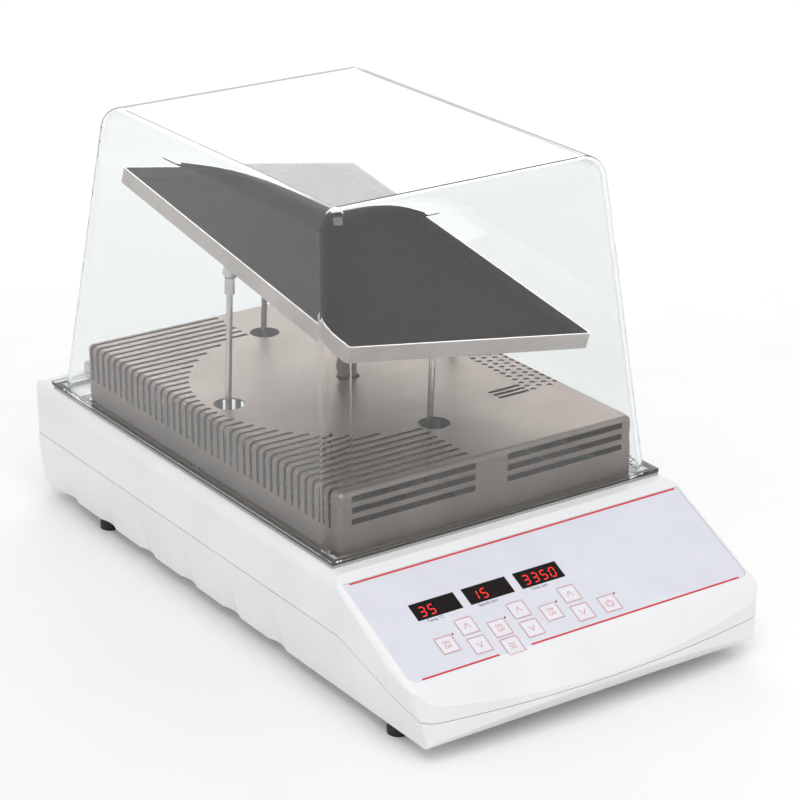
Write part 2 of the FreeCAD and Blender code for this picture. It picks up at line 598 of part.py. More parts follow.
cover = cover_block("cover_out", "0", "deck_height", size("cover_bend"))
rim = box("cover_rim", "-cover_half-cover_flange", "cover_half+cover_flange", "cover_front-cover_flange",
          "cover_back+cover_flange", "deck_height", "deck_height+sheet_thick")
cover_in = cover_block("cover_in", "sheet_thick", "deck_height-wall", size("cover_bend-sheet_thick"))
cover = cut("cover_shell", fuse("cover_solid", cover, rim), cover_in)
slots = []
reach = size("plain_round")
for number in range(int(size("slot_count"))):
    y = "slot_first+%d*slot_pitch" % number
    off = size("slot_first") + number * size("slot_pitch") + size("slot_width") / 2 - size("axis_y")
    end = "slot_stop"
    if abs(off) < math.sqrt(reach ** 2 - size("slot_stop") ** 2):
        end = "-sqrt(plain_round^2-(%s+slot_width/2-axis_y)^2)" % y
    slots.append(box("slot_%d" % number, "-cover_half-sheet_thick", end, y, y + "+slot_width", "slot_low",
                     "cover_top+sheet_thick"))
cover = cut("cover_slotted", cover, *slots)
faces = []
for row in range(3):
    low = "face_slot_low+%d*face_slot_rise" % row
    for tag, x0, x1 in (("left", "-(face_slot_end)", "-face_slot_gap"),
                        ("right", "face_slot_gap", "face_slot_end")):
        faces.append(box("face_slot_%s_%d" % (tag, row), x0, x1, "cover_front-sheet_thick",
                         "cover_front+2*sheet_thick", low, low + "+face_slot_tall"))
    y = "perf_front-perf_round+%d*short_slot_pitch" % row
    faces.append(box("short_slot_%d" % row, "perf_left-2*perf_round-short_slot_length",
                     "perf_left-2*perf_round", y, y + "+slot_width", UNDER + "-sheet_thick",
                     "cover_top+sheet_thick"))
perf_rows = int(size("(cover_back-perf_tail-perf_front)/perf_pitch") + 0.01)
for column in range(int(size("perf_columns"))):
    for row in range(perf_rows):
        x = size("perf_left") + column * size("perf_pitch")
        y = size("perf_front") + (row + 0.5 * (column % 2)) * size("perf_pitch")
        near = math.hypot(x - size("rod_reach_side"), y - size("axis_y"))
        if near > size("rod_hole") + 2 * size("perf_round"):
            faces.append(cylinder("perf_%d_%d" % (column, row), "perf_round", UNDER + "-sheet_thick",
                                  "cover_top+sheet_thick", "perf_left+%d*perf_pitch" % column,
                                  "perf_front+%s*perf_pitch" % (row + 0.5 * (column % 2))))
for tag, dx, dy in (("left", -1, 0), ("right", 1, 0), ("front", 0, -1), ("back", 0, 1)):
    faces.append(cylinder("rod_hole_" + tag, "rod_hole", UNDER + "-sheet_thick", "cover_top+sheet_thick",
                          "%d*rod_reach_side" % dx, "axis_y+%d*rod_reach_end" % dy))
faces.append(cylinder("post_hole_cut", "post_hole", UNDER + "-sheet_thick", "cover_top+sheet_thick",
                      "0", "axis_y"))
part("chamber_cover", cut("cover_whole", cover, *faces))
pad = box("filter_block", "perf_left-2*perf_round", "cover_half-cover_bend", "perf_front-2*perf_round",
          "fan_y-fan_size/2-perf_pitch", UNDER + "-filter_thick", UNDER)
pad_hole = cylinder("filter_hole", "rod_hole+filter_thick", UNDER + "-2*filter_thick", "cover_top",
                    "rod_reach_side", "axis_y")
part("air_filter", cut("filter_pad", pad, pad_hole))

# Tray, built level about its pivot and then tilted
FLOOR = "tray_floor_lift"


def tray_block(tag, t, low, high):
    block = box(tag + "_block", "-tray_width/2+%s" % t, "tray_width/2-%s" % t, "-tray_length/2+%s" % t,
                "tray_length/2-%s" % t, low, high)
    return rounded(tag + "_soft", block, size("tray_corner") - (size(t) if t == "tray_sheet" else 0), along_z)


tray = cut("tray_pan", tray_block("tray_out", "0", FLOOR, FLOOR + "+tray_rim"),
           tray_block("tray_in", "tray_sheet", FLOOR + "+tray_sheet", FLOOR + "+2*tray_rim"))
part("tray", tilted(tray, "pivot_height"))
mat = tray_block("mat", "(tray_sheet+mat_gap)", FLOOR + "+tray_sheet", FLOOR + "+tray_sheet+mat_thick")
part("tray_mat", tilted(mat, "pivot_height"))
hub = cut("tray_hub_cup", cylinder("tray_hub_block", "hub_round", "hub_lift", FLOOR),
          sphere("tray_hub_hollow", "pivot_ball_round+fit_gap"))
part("tray_hub", tilted(hub, "pivot_height"))
part("pivot_ball", sphere("pivot_ball_solid", "pivot_ball_round", "0", "axis_y", "pivot_height"))

# Rods: name and direction from the drive axis
ROD_ENDS = {"left": (-1, 0), "right": (1, 0), "front": (0, -1), "back": (0, 1)}


def reach_of(tag):
    dx, dy = ROD_ENDS[tag]
    return "%d*rod_reach_side" % dx, "%d*rod_reach_end" % dy


sockets = []
for tag in ROD_ENDS:
    x, y = reach_of(tag)
    block = cylinder("socket_block_" + tag, "socket_round", "ball_lift-socket_lip", FLOOR, x, y)
    hollow = sphere("socket_hollow_" + tag, "rod_ball+fit_gap", x, y, "ball_lift")
    sockets.append(tilted(cut("socket_" + tag, block, hollow), "pivot_height"))
part("tray_sockets", gather("socket_set", sockets))

towards = math.radians(size("tilt_towards"))
lean = Rotation(Vector(-math.sin(towards), math.cos(towards), 0), size("tilt"))
for tag, (dx, dy) in ROD_ENDS.items():
    side = size("rod_reach_side")
    end = size("rod_reach_end")
    top = Vector(0, size("axis_y"), size("pivot_height"))
    top = top + lean.multVec(Vector(dx * side, dy * end, size("ball_lift")))
    foot = Vector(0, size("axis_y"), size("swash_height"))
    foot = foot + lean.multVec(Vector(dx * side, dy * end, -size("ball_drop")))
    length = str((top - foot).Length)
    part("ball_" + tag, sphere("ball_solid_" + tag, "rod_ball", *("%.6f" % value for value in top)))
    shaft = cylinder("rod_shaft_" + tag, "rod_round", "0", length + "-cup_drop-cup_length/2")
    collar = cylinder("rod_collar_" + tag, "cup_round", length + "-cup_drop-cup_length", length + "-cup_drop")
    knob = sphere("rod_knob_" + tag, "rod_ball")
    dish = sphere("rod_dish_" + tag, "rod_ball+fit_gap", "0", "0", length)
    rod = cut("rod_whole_" + tag, fuse("rod_body_" + tag, shaft, collar, knob), dish)
    rod.Placement = Placement(foot, Rotation(Vector(0, 0, 1), top - foot))
    part("rod_" + tag, rod)

# Swash plate with an arm and a deep cup for each rod, on a bearing on the crank's slanted seat
pieces = [cylinder("swash_ring", "ring_out", "-ring_tall/2", "ring_tall/2")]
wells, mouths = [], []
for tag, (dx, dy) in ROD_ENDS.items():
    x, y = reach_of(tag)
    span = "%d*(%s)+%d*(%s)-bearing_out" % (dx, x, dy, y)
    arm = box("arm_" + tag, "0", span, "-arm_width/2", "arm_width/2", "-ring_tall/2",
              "-ring_tall/2+arm_thick")
    turn(arm, (0, 0, 1), str(math.degrees(math.atan2(dy, dx)) % 360))
    place(arm, "%d*bearing_out%+d*arm_width/2" % (dx, dy), "%d*bearing_out%+d*arm_width/2" % (dy, -dx),
          "-ring_tall/2")
    pieces.append(arm)
    pieces.append(cylinder("well_block_" + tag, "well_round", "-ball_drop-rod_ball-fit_gap-well_floor",
                           "-ring_tall/2+arm_thick", x, y))
    wells.append(cylinder("well_" + tag, "rod_ball+fit_gap", "-ball_drop-rod_ball-fit_gap", "ring_tall",
                          x, y))
    mouths.append(cone("mouth_" + tag, "rod_round", "well_mouth", "-ball_drop", "-ring_tall/2+arm_thick",
                       x, y))
wells.append(cylinder("swash_bore", "bearing_out", "-ring_tall", "ring_tall"))
swash = cut("swash_bored", fuse("swash_body", *pieces), *wells)
part("swash_plate", tilted(cut("swash_whole", swash, *mouths), "swash_height"))


def ring(name, outer, inner, z0, z1, y="0"):
    return cut(name, cylinder(name + "_out", outer, z0, z1, "0", y),
               cylinder(name + "_in", inner, z0, z1, "0", y))


part("swash_bearing", tilted(ring("swash_race", "bearing_out", "seat_round+fit_gap", "-bearing_width/2",
                                  "bearing_width/2"), "swash_height"))

# Crank hub on the post, with its pulley and bearings
seat = tilted(cylinder("crank_seat", "seat_round", "-seat_length/2", "seat_length/2"), "swash_height")
sleeve = cylinder("crank_sleeve", "crank_round", "crank_low", "swash_height", "0", "axis_y")
part("crank_hub", cut("crank_whole", fuse("crank_body", seat, sleeve),
                      cylinder("crank_bore_cut", "crank_bore", "0", "cover_top", "0", "axis_y")))
part("crank_bearings", gather("crank_bearing_set", [
    ring("crank_bearing_%d" % n, "crank_bore", "post_round+fit_gap/3", z, z + "+crank_bearing_tall", "axis_y")
    for n, z in enumerate(("crank_low", "swash_height-crank_bearing_tall/2"))]))
PULLEY_TOP = "crank_low+pulley_tall"


def lipped(name, radius, y):
    # a flat-belt pulley: a rim between two lips
    lip = radius + "+pulley_lip"
    return [cylinder(name + "_rim", radius, "crank_low", PULLEY_TOP, "0", y),
            cylinder(name + "_lip_low", lip, "crank_low", "crank_low+pulley_lip_tall", "0", y),
            cylinder(name + "_lip_top", lip, PULLEY_TOP + "-pulley_lip_tall", PULLEY_TOP, "0", y)]


disc = fuse("crank_pulley_disc", *lipped("crank_rim", "pulley_round", "axis_y"))
part("crank_pulley", cut("crank_pulley_ring", disc,
                         cylinder("crank_pulley_bore", "crank_round", "0", "cover_top", "0", "axis_y")))
CHASSIS_TOP = "floor_gap+wall+chassis_thick"
cup_top = "pivot_height-post_clear"
post = fuse("post_body", cylinder("post_stem", "post_round", CHASSIS_TOP, cup_top, "0", "axis_y"),
            cylinder("post_cup", "post_cup_round", cup_top + "-post_cup_tall", cup_top, "0", "axis_y"),
            cylinder("post_foot", "post_foot_round", CHASSIS_TOP, CHASSIS_TOP + "+post_foot_thick",
                     "0", "axis_y"),
            cylinder("post_shoulder", "crank_bore-1", CHASSIS_TOP, "crank_low-fit_gap", "0", "axis_y"))
dish = sphere("post_dish", "pivot_ball_round+fit_gap", "0", "axis_y", "pivot_height")
part("centre_post", cut("post_whole", post, dish))
part("chassis_plate", box("chassis_flat", "-chassis_half", "chassis_half", "chassis_front", "chassis_back",
                          "floor_gap+wall", CHASSIS_TOP))

# Motor, its pulley and the belt
MOTOR_Y = "(axis_y+motor_distance)"
part("motor_bracket", box("bracket_flat", "-bracket_half", "bracket_half", MOTOR_Y + "-bracket_half",
                          MOTOR_Y + "+bracket_half", CHASSIS_TOP, CHASSIS_TOP + "+bracket_thick"))
motor_top = CHASSIS_TOP + "+bracket_thick+motor_tall"
part("motor", cylinder("motor_can", "motor_round", CHASSIS_TOP + "+bracket_thick", motor_top, "0", MOTOR_Y))
shaft = cylinder("motor_shaft_rod", "motor_shaft", motor_top + "+fit_gap", "crank_low", "0", MOTOR_Y)
part("motor_pulley", fuse("motor_pulley_disc", shaft, *lipped("motor_rim", "motor_pulley_round", MOTOR_Y)))


def belt_loop(extra):
    # open belt round two pulleys: two arcs and two common tangents
    big = size("pulley_round") + extra
    small = size("motor_pulley_round") + extra
    apart = size("motor_distance")
    turn_at = math.asin((big - small) / apart)
    cross, rise = math.cos(turn_at), math.sin(turn_at)
    hub_y, far_y = size("axis_y"), size("axis_y") + apart
    level = size("crank_low") + size("pulley_tall") / 2 - size("belt_tall") / 2
    a = Vector(-big * cross, hub_y + big * rise, level)
    b = Vector(big * cross, hub_y + big * rise, level)
    c = Vector(small * cross, far_y + small * rise, level)
    d = Vector(-small * cross, far_y + small * rise, level)
    round_hub = Part.Arc(a, Vector(0, hub_y - big, level), b).toShape()
    round_motor = Part.Arc(c, Vector(0, far_y + small, level), d).toShape()
    return Part.Wire([round_hub, Part.makeLine(b, c), round_motor, Part.makeLine(d, a)])


belt = doc.addObject("Part::Feature", "belt_loop")
rise = Vector(0, 0, size("belt_tall"))
outside = Part.Face(belt_loop(size("fit_gap") + size("belt_thick"))).extrude(rise)
belt.Shape = outside.cut(Part.Face(belt_loop(size("fit_gap"))).extrude(rise))
part("drive_belt", belt)

# Fan under the cover
FAN_LOW = UNDER + "-fan_tall"
frame = box("fan_block", "fan_x-fan_size/2", "fan_x+fan_size/2", "fan_y-fan_size/2", "fan_y+fan_size/2",
            FAN_LOW, UNDER)
frame = cut("fan_frame", frame, cylinder("fan_hole", "fan_bore", FAN_LOW, UNDER, "fan_x", "fan_y"))
struts = [box("fan_strut_x", "fan_x-fan_size/2", "fan_x+fan_size/2", "fan_y-strut_width/2",
              "fan_y+strut_width/2", FAN_LOW, FAN_LOW + "+strut_tall"),
          box("fan_strut_y", "fan_x-strut_width/2", "fan_x+strut_width/2", "fan_y-fan_size/2",
              "fan_y+fan_size/2", FAN_LOW, FAN_LOW + "+strut_tall"),
          cylinder("fan_motor", "fan_hub", FAN_LOW, FAN_LOW + "+strut_tall", "fan_x", "fan_y")]
part("fan_housing", fuse("fan_whole", frame, *struts))
rotor = [cylinder("rotor_hub", "fan_hub", FAN_LOW + "+strut_tall+fit_gap", UNDER + "-strut_tall",
                  "fan_x", "fan_y")]
middle = size("cover_top") - size("sheet_thick") - size("fan_tall") / 2
for number in range(int(size("blade_count"))):
    blade = doc.addObject("Part::Box", "blade_%d" % number)
    bind(blade, Length="fan_bore-2*strut_width/2-blade_thick/2", Width="blade_thick", Height="blade_tall")
    spin = Rotation(Vector(0, 0, 1), 360.0 * number / size("blade_count"))
    pitch = Rotation(Vector(1, 0, 0), size("blade_pitch"))
    corner = spin.multiply(pitch).multVec(Vector(0, -size("blade_thick") / 2, -size("blade_tall") / 2))
    blade.Placement = Placement(Vector(size("fan_x"), size("fan_y"), middle) + corner, spin.multiply(pitch))
    rotor.append(blade)
part("fan_rotor", fuse("rotor_whole", *rotor))

# Heater: three runs of tube and two hangers under the cover, and the temperature probe
level = size("cover_top") - size("sheet_thick") - size("heater_drop")
left, right = size("heater_left"), size("heater_right")
runs = [size("heater_y") + n * size("heater_pitch") for n in range(3)]
swing = size("heater_pitch") / 2
path = Part.Wire([
    Part.makeLine(Vector(right, runs[0], level), Vector(left, runs[0], level)),
    Part.Arc(Vector(left, runs[0], level), Vector(left - swing, runs[0] + swing, level),
             Vector(left, runs[1], level)).toShape(),
    Part.makeLine(Vector(left, runs[1], level), Vector(right, runs[1], level)),
    Part.Arc(Vector(right, runs[1], level), Vector(right + swing, runs[1] + swing, level),
             Vector(right, runs[2], level)).toShape(),
    Part.makeLine(Vector(right, runs[2], level), Vector(left, runs[2], level))])
section = Part.Wire([Part.makeCircle(size("heater_round"), Vector(right, runs[0], level), Vector(1, 0, 0))])
tube = doc.addObject("Part::Feature", "heater_tube")
tube.Shape = path.makePipeShell([section], True, False)
hangers = [box("hanger_%d" % n, x, x + "+hanger_thick", "heater_y-hanger_reach",
               "heater_y+2*heater_pitch+hanger_reach", UNDER + "-heater_drop+heater_round", UNDER)
           for n, x in enumerate(("heater_left+hanger_inset", "heater_right-hanger_inset"))]
part("heater_element", gather("heater_set", [tube] + hangers))
part("temperature_probe", cylinder("probe_stem", "probe_round", UNDER + "-probe_length", UNDER,
                                   "probe_x", "probe_y"))

# Electrics
BOARD_TOP = "floor_gap+wall+standoff_tall+board_thick"
part("main_board", box("main_board_flat", "-board_half", "board_half", "board_front", "board_back",
                       "floor_gap+wall+standoff_tall", BOARD_TOP))
part("board_components", gather("component_set", [
    box("supply_block", "-board_half+6*standoff_round", "-board_half+6*standoff_round+supply_length",
        "board_front+6*standoff_round", "board_front+6*standoff_round+supply_width", BOARD_TOP,
        BOARD_TOP + "+supply_tall"),
    box("connector_block", "board_half-6*standoff_round-connector_length", "board_half-6*standoff_round",
        "board_back-2*standoff_round-connector_width", "board_back-2*standoff_round", BOARD_TOP,
        BOARD_TOP + "+connector_tall")]))


def rear_frame(name, x, width, tall):
    # a body through the rear wall with a bezel round it
    body = rear_block(name + "_body", x, width + "-2*fit_gap", tall + "-2*fit_gap", "inlet_depth", "0")
    bezel = rear_block(name + "_bezel", x, width + "+2*bezel-2*fit_gap", tall + "+2*bezel-2*fit_gap",
                       "wall/2", "0")
    return fuse(name + "_solid", body, bezel)


inlet_well = rear_block("inlet_well", "inlet_x", "inlet_width-2*bezel", "inlet_tall-2*bezel",
                        "inlet_depth-bezel", "wall")
inlet = rear_frame("inlet", "inlet_x", "inlet_width", "inlet_tall")
part("power_inlet", cut("inlet_whole", inlet, inlet_well))
part("inlet_pins", gather("inlet_pin_set", [
    rear_block("inlet_pin_%d" % n, "inlet_x%+d*bezel*2" % (n - 1), "bezel/2", "bezel*4/3",
               "inlet_depth-bezel", "-bezel") for n in range(3)]))
frame = rear_frame("switch", "switch_x", "switch_width", "switch_tall")
ROCKER_TALL = "(switch_tall-2*bezel)"
ROCKER_WIDE = "(switch_width-1.4*bezel)"
part("power_switch", cut("switch_whole", frame, rear_block(
    "switch_well", "switch_x", ROCKER_WIDE + "+2*fit_gap", ROCKER_TALL + "+1.2*bezel", "4*bezel", "wall")))
rocker = box("rocker_paddle", "-%s/2" % ROCKER_WIDE, "%s/2" % ROCKER_WIDE, "-bezel", "bezel",
             "-%s/2" % ROCKER_TALL, "%s/2" % ROCKER_TALL)
axle = rod_along("rocker_axle", "1.3*bezel", ROCKER_WIDE, "-%s/2" % ROCKER_WIDE, "0", "0", (0, 1, 0), "90")
rocker = fuse("rocker_whole", rocker, axle)
turn(rocker, (-1, 0, 0), "rocker_angle")
part("switch_rocker", place(rocker, "switch_x", HALF_DEPTH + "-1.6*bezel", "inlet_height"))

# Check and write
doc.recompute()
for obj in doc.Objects:
    if "Invalid" in obj.State or "Error" in obj.State:
        raise RuntimeError("%s did not compute: %s" % (obj.Name, obj.State))
for node, obj in parts.items():
    if obj.Shape.isNull() or not obj.Shape.isValid() or not obj.Shape.Solids:
        raise RuntimeError("%s has no valid solid" % node)
os.makedirs("parts", exist_ok=True)
for node, obj in parts.items():
    obj.Shape.exportStep("parts/%s.step" % node)
print("%d sub-parts, %d solids" % (len(parts), sum(len(obj.Shape.Solids) for obj in parts.values())))
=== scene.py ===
# Heated waving shaker: finishes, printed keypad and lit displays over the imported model
import json
import math
import bpy
import numpy as np
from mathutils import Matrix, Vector


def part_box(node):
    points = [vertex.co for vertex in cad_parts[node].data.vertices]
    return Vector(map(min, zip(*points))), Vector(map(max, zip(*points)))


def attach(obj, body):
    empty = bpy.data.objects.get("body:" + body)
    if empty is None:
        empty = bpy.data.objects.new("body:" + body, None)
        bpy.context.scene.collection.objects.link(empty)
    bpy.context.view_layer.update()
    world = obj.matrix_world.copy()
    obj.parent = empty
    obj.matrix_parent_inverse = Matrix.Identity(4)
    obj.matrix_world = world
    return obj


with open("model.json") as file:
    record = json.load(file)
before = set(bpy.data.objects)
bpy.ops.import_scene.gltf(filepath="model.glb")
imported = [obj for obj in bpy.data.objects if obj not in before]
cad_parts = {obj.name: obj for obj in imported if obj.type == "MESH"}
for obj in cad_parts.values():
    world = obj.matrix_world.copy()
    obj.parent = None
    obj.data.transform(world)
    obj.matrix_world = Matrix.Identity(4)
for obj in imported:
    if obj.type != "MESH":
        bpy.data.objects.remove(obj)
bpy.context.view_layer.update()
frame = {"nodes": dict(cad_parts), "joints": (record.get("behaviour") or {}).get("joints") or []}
nodes = frame["nodes"]
scene = bpy.context.scene
scene.view_settings.view_transform = "Standard"
mm = 0.001
print("frame loaded:", len(nodes), "nodes")

# Camera at the photograph's place, square frame
camera = {"azimuth": -34.43, "elevation": 21.81, "distance": 2.6552, "target": (0.0, -0.038, 0.2032),
          "focalPixels": 2648.6, "imageWidth": 800, "sensorWidth": 36.0}


def makeCamera(c):
    az, el = math.radians(c["azimuth"]), math.radians(c["elevation"])
    back = Vector((math.sin(az) * math.cos(el), -math.cos(az) * math.cos(el), math.sin(el)))
    data = bpy.data.cameras.new("photoCamera")
    data.sensor_width = c["sensorWidth"]
    data.lens = c["focalPixels"] / c["imageWidth"] * c["sensorWidth"]
    data.clip_end = 50.0
    cam = bpy.data.objects.new("photoCamera", data)
    cam.location = Vector(c["target"]) + back * c["distance"]
    cam.rotation_euler = back.to_track_quat("Z", "Y").to_euler()
    scene.collection.objects.link(cam)
    scene.camera = cam


makeCamera(camera)


# Materials: colours are sRGB hex, patterns read Object coordinates in metres
def linear(hexColour):
    values = np.array([int(hexColour[i:i + 2], 16) for i in (1, 3, 5)]) / 255
    low = values / 12.92
    high = ((values + 0.055) / 1.055) ** 2.4
    return (*np.where(values <= 0.04045, low, high).tolist(), 1.0)


def add(material, kind, links=(), **settings):
    node = material.node_tree.nodes.new(kind)
    for name, value in settings.items():
        setattr(node, name, value)
    for socket, source in dict(links).items():
        if isinstance(source, bpy.types.NodeSocket):
            material.node_tree.links.new(source, node.inputs[socket])
        else:
            node.inputs[socket].default_value = source
    return node


def startMaterial(name, **sockets):
    material = bpy.data.materials.new(name)
    material.use_nodes = True
    shader = material.node_tree.nodes["Principled BSDF"]
    for socket, value in sockets.items():
        shader.inputs[socket.replace("_", " ")].default_value = value
    place = add(material, "ShaderNodeTexCoord").outputs["Object"]
    return material, shader, place


def grain(material, place, sizeMm, stretch=(1, 1, 1), detail=3.0):
    # noise whose lumps are about sizeMm across, drawn out by the stretch
    fit = add(material, "ShaderNodeMapping", {"Vector": place, "Scale": stretch})
    return add(material, "ShaderNodeTexNoise", {"Vector": fit.outputs[0], "Scale": 1 / (sizeMm * mm),
                                                "Detail": detail}).outputs["Fac"]


def ramp(material, fac, stops):
    node = add(material, "ShaderNodeValToRGB", {"Fac": fac})
    elements = node.color_ramp.elements
    for index, (at, hexColour) in enumerate(stops):
        element = elements[index] if index < 2 else elements.new(at)
        element.position = at
        element.color = linear(hexColour)
    return node.outputs["Color"]


def spread(material, fac, low, high):
    return add(material, "ShaderNodeMapRange",
               {"Value": fac, "To Min": low, "To Max": high}).outputs["Result"]


def finishBump(material, shader, height, strength, depthMm):
    bump = add(material, "ShaderNodeBump", {"Height": height, "Strength": strength, "Distance": depthMm * mm})
    link(material, bump.outputs[0], shader.inputs["Normal"])


def link(material, source, socket):
    material.node_tree.links.new(source, socket)


# Pale plastics: injection-moulded ABS with a fine spark texture, back-printed polyester film with a velvet face, and
# the same film over the domes, a touch lighter and thinly glossed by use
mouldedAbs = {"name": "mouldedWhiteAbs", "ior": 1.53, "dark": "#E9EAEC", "light": "#F1F1F2", "cloudMm": 90,
              "fineMm": 0.9, "roughness": (0.26, 0.40), "bump": 0.12, "bumpMm": 0.05}
velvetFilm = {"name": "velvetPolyesterFilm", "ior": 1.57, "dark": "#DADBE6", "light": "#E0E1EA", "cloudMm": 40,
              "fineMm": 0.5, "roughness": (0.36, 0.5), "bump": 0.10, "bumpMm": 0.03}
domedFilm = {"name": "domedPolyesterFilm", "ior": 1.57, "dark": "#E4E3EA", "light": "#EAE9EF", "cloudMm": 12,
             "fineMm": 0.6, "roughness": (0.28, 0.42), "bump": 0.08, "bumpMm": 0.03}


def palePlastic(p):
    # the colour drifts a little over the large faces, the fine texture breaks up the highlight
    material, shader, place = startMaterial(p["name"], IOR=p["ior"])
    cloud = grain(material, place, p["cloudMm"])
    link(material, ramp(material, cloud, ((0.3, p["dark"]), (0.7, p["light"]))), shader.inputs["Base Color"])
    fine = grain(material, place, p["fineMm"])
    link(material, spread(material, fine, *p["roughness"]), shader.inputs["Roughness"])
    finishBump(material, shader, fine, p["bump"], p["bumpMm"])
    return material


def screenInk(name, light, dark):
    # screen-printed ink: dense, slightly mottled
    material, shader, place = startMaterial(name)
    speck = grain(material, place, 0.8)
    link(material, ramp(material, speck, ((0.25, dark), (0.75, light))), shader.inputs["Base Color"])
    link(material, spread(material, speck, 0.4, 0.55), shader.inputs["Roughness"])
    return material


tintShine = 0.15


def tintedWindow():
    # dark red tinted acrylic over the digits: nearly black, smooth with faint smears, little shine
    material, shader, place = startMaterial("tintedDisplayAcrylic", IOR=1.49, Specular_IOR_Level=tintShine)
    smear = grain(material, place, 9, (1, 3, 1))
    link(material, ramp(material, smear, ((0.2, "#0A0405"), (0.8, "#140708"))), shader.inputs["Base Color"])
    link(material, spread(material, smear, 0.10, 0.2), shader.inputs["Roughness"])
    return material


def litSegment(name, hexColour, strength):
    # segment behind the tint that emits light, lit, or with a faint painted glow when unlit, one even colour with
    # the tint's own shine
    material, _, _ = startMaterial(name, Roughness=0.4, Specular_IOR_Level=tintShine, Emission_Strength=strength,
                                   Base_Color=linear(hexColour), Emission_Color=linear(hexColour))
    return material


# Thermoformed clear acrylic of the lid
# the two gloss levels are painted sheen: raised on the lid's top, turned down on its sides after how the light fell
acrylic = {"faceOn": (0.55, "#FBFDFD"), "alongWall": (0.98, "#8F9597"), "uprightFrom": 0.5, "uprightTo": 0.95,
           "sideDimmedReflection": 0.06, "topPaintedSheen": 0.8, "hazeMm": 60, "hazeRoughness": 0.035, "waveMm": 120, "waveBump": 0.05,
           "waveDeepMm": 0.6, "shadowTint": "#F4F7F7"}


def clearAcrylic(a):
    # water-clear face on and grey where the eye runs along the wall, faint haze in patches, a painted sheen that
    # makes the top, which faces the lamps, far more reflective than the sides, shadows let most light through
    material, shader, place = startMaterial("thermoformedAcrylic", IOR=1.49, Transmission_Weight=1.0)
    normal = add(material, "ShaderNodeTexCoord").outputs["Normal"]
    upright = add(material, "ShaderNodeSeparateXYZ", {"Vector": normal}).outputs["Z"]
    # painted sheen: specular level grows from the sides to the top, standing in for the lamps over the top and the
    # dim studio in the sides
    paintedSheenLevel = add(material, "ShaderNodeMapRange", {
        "Value": upright, "From Min": a["uprightFrom"], "From Max": a["uprightTo"],
        "To Min": a["sideDimmedReflection"], "To Max": a["topPaintedSheen"]}).outputs["Result"]
    link(material, paintedSheenLevel, shader.inputs["Specular IOR Level"])
    facing = add(material, "ShaderNodeLayerWeight", {"Blend": 0.5}).outputs["Facing"]
    link(material, ramp(material, facing, (a["faceOn"], a["alongWall"])), shader.inputs["Base Color"])
    haze = grain(material, place, a["hazeMm"])
    link(material, spread(material, haze, 0.0, a["hazeRoughness"]), shader.inputs["Roughness"])
    waves = grain(material, place, a["waveMm"], detail=0.0)
    finishBump(material, shader, waves, a["waveBump"], a["waveDeepMm"])
    through = add(material, "ShaderNodeBsdfTransparent", {"Color": linear(a["shadowTint"])})
    path = add(material, "ShaderNodeLightPath")
    mix = add(material, "ShaderNodeMixShader", {0: path.outputs["Is Shadow Ray"], 1: shader.outputs[0],
                                                2: through.outputs[0]})
    link(material, mix.outputs[0], material.node_tree.nodes["Material Output"].inputs["Surface"])
    return material


def brushedSteel(name, light, dark, along, roughness):
    # cold-rolled stainless, brushed along one axis: streaks drawn coarser than life, 1.2 mm wide, to show
    material, shader, place = startMaterial(name, Metallic=1.0)
    stretch = tuple(0.02 if i == along else 1.0 for i in range(3))
    streak = grain(material, place, 1.2, stretch, 4.0)
    cloud = grain(material, place, 70)
    both = add(material, "ShaderNodeMath", {0: streak, 1: cloud}, operation="ADD")
    half = add(material, "ShaderNodeMath", {0: both.outputs[0], 1: 0.5}, operation="MULTIPLY").outputs[0]
    link(material, ramp(material, half, ((0.35, dark), (0.65, light))), shader.inputs["Base Color"])
    link(material, spread(material, streak, roughness - 0.06, roughness + 0.08), shader.inputs["Roughness"])
    finishBump(material, shader, streak, 0.15, 0.03)
    return material


def turnedMetal(name, light, dark, roughness):
    # turned and ground metal: fine rings round the work, small tool marks
    material, shader, place = startMaterial(name, Metallic=1.0)
    mark = grain(material, place, 0.6, (0.2, 0.2, 1.0))
    link(material, ramp(material, mark, ((0.3, dark), (0.7, light))), shader.inputs["Base Color"])
    link(material, spread(material, mark, roughness - 0.05, roughness + 0.08), shader.inputs["Roughness"])
    return material


def dullMoulding(name, light, dark, roughness, grainMm, shine=0.5):
    # rubber or filled plastic: dark, dull, finely pebbled
    material, shader, place = startMaterial(name, IOR=1.5, Specular_IOR_Level=shine)
    pebble = grain(material, place, grainMm)
    link(material, ramp(material, pebble, ((0.3, dark), (0.7, light))), shader.inputs["Base Color"])
    link(material, spread(material, pebble, roughness - 0.08, roughness + 0.08), shader.inputs["Roughness"])
    finishBump(material, shader, pebble, 0.2, 0.06)
    return material


def filterFleece():
    # needled white polyester fleece: felted lumps a millimetre or two across, quite matt
    material, shader, place = startMaterial("needledFilterFleece", Specular_IOR_Level=0.1, Roughness=0.95)
    felt = grain(material, place, 1.6, detail=5.0)
    link(material, ramp(material, felt, ((0.3, "#DAD9D4"), (0.7, "#F0F0EC"))), shader.inputs["Base Color"])
    finishBump(material, shader, felt, 0.5, 0.4)
    return material


